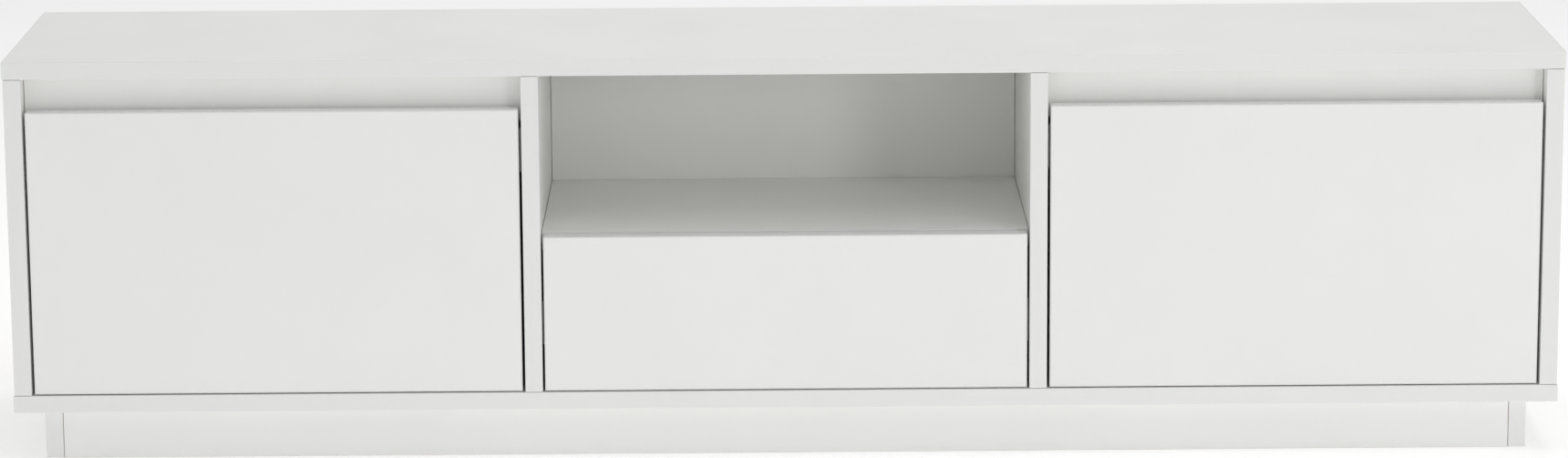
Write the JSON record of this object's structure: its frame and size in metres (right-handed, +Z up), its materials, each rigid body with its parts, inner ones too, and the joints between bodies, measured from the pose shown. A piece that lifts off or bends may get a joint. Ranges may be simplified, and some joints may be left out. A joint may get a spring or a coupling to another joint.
{
  "type": "tv stand with doors",
  "caption": "Long low white board TV stand with inset end doors under finger recesses, an open niche and a drawer in the middle, on a recessed plinth.",
  "frame": {"origin": "on the floor, at the middle of the stand's width and depth", "axes": "+X along the stand's width, to the viewer's right; +Y from the front to the back, so the doors face -Y; +Z up"},
  "size_m": [1.6, 0.32, 0.42],
  "materials": {
    "white_melamine": "white melamine facing on particleboard, satin",
    "white_hardboard": "white lacquered thin hardboard",
    "zinc_steel": "nickel or zinc plated pressed steel",
    "grey_plastic": "moulded, matte",
    "white_plastic": "moulded, matte"
  },
  "bodies": {
    "carcass": {"top_panel": "white_melamine", "bottom_panel": "white_melamine", "left_side_panel": "white_melamine", "left_partition": "white_melamine", "left_grip_rail": "white_melamine", "left_back_panel": "white_hardboard", "right_side_panel": "white_melamine", "right_partition": "white_melamine", "right_grip_rail": "white_melamine", "right_back_panel": "white_hardboard", "niche_shelf": "white_melamine", "centre_back_panel": "white_melamine", "plinth_front": "white_melamine", "plinth_back": "white_melamine", "plinth_brace": "white_melamine", "plinth_left": "white_melamine", "plinth_right": "white_melamine", "left_magnetic_catch": "white_plastic", "left_lower_hinge_plate": "zinc_steel", "left_lower_hinge_arm": "zinc_steel", "left_upper_hinge_plate": "zinc_steel", "left_upper_hinge_arm": "zinc_steel", "right_magnetic_catch": "white_plastic", "right_lower_hinge_plate": "zinc_steel", "right_lower_hinge_arm": "zinc_steel", "right_upper_hinge_plate": "zinc_steel", "right_upper_hinge_arm": "zinc_steel", "left_runner_cabinet_section": "zinc_steel", "right_runner_cabinet_section": "zinc_steel", "push_latch_body": "grey_plastic"},
    "left_door": {"left_door": "white_melamine", "left_lower_hinge_cup": "zinc_steel", "left_upper_hinge_cup": "zinc_steel", "left_catch_strike": "zinc_steel"},
    "right_door": {"right_door": "white_melamine", "right_lower_hinge_cup": "zinc_steel", "right_upper_hinge_cup": "zinc_steel", "right_catch_strike": "zinc_steel"},
    "drawer": {"drawer_front": "white_melamine", "drawer_left_side": "white_melamine", "drawer_right_side": "white_melamine", "drawer_back": "white_melamine", "drawer_bottom": "white_hardboard", "left_runner_drawer_section": "zinc_steel", "right_runner_drawer_section": "zinc_steel"},
    "left_runner_middle": {"left_runner_middle_section": "zinc_steel"},
    "right_runner_middle": {"right_runner_middle_section": "zinc_steel"},
    "push_latch_plunger": {"push_latch_plunger": "white_plastic"}
  },
  "joints": [
    {"name": "left_door_hinge", "type": "hinge", "parent": "carcass", "child": "left_door", "pos_m": [-0.77196, -0.15246, 0.219], "axis": [0, 0, -1], "range_deg": [0, 95]},
    {"name": "right_door_hinge", "type": "hinge", "parent": "carcass", "child": "right_door", "pos_m": [0.77196, -0.15246, 0.219], "axis": [0, 0, 1], "range_deg": [0, 95]},
    {"name": "drawer_slide", "type": "slide", "parent": "carcass", "child": "drawer", "axis": [0, -1, 0], "range_m": [0, 0.22]},
    {"name": "left_runner_middle_slide", "type": "slide", "parent": "carcass", "child": "left_runner_middle", "axis": [0, -1, 0], "range_m": [0, 0.115]},
    {"name": "right_runner_middle_slide", "type": "slide", "parent": "carcass", "child": "right_runner_middle", "axis": [0, -1, 0], "range_m": [0, 0.115]},
    {"name": "push_latch_press", "type": "slide", "parent": "carcass", "child": "push_latch_plunger", "axis": [0, 1, 0], "range_m": [0, 0.004], "stiffness_N_per_m": 250, "springref_m": -0.002}
  ],
  "couplings": [
    {"joint": "left_runner_middle_slide", "follows": "drawer_slide", "ratio": 0.5},
    {"joint": "right_runner_middle_slide", "follows": "drawer_slide", "ratio": 0.5}
  ]
}
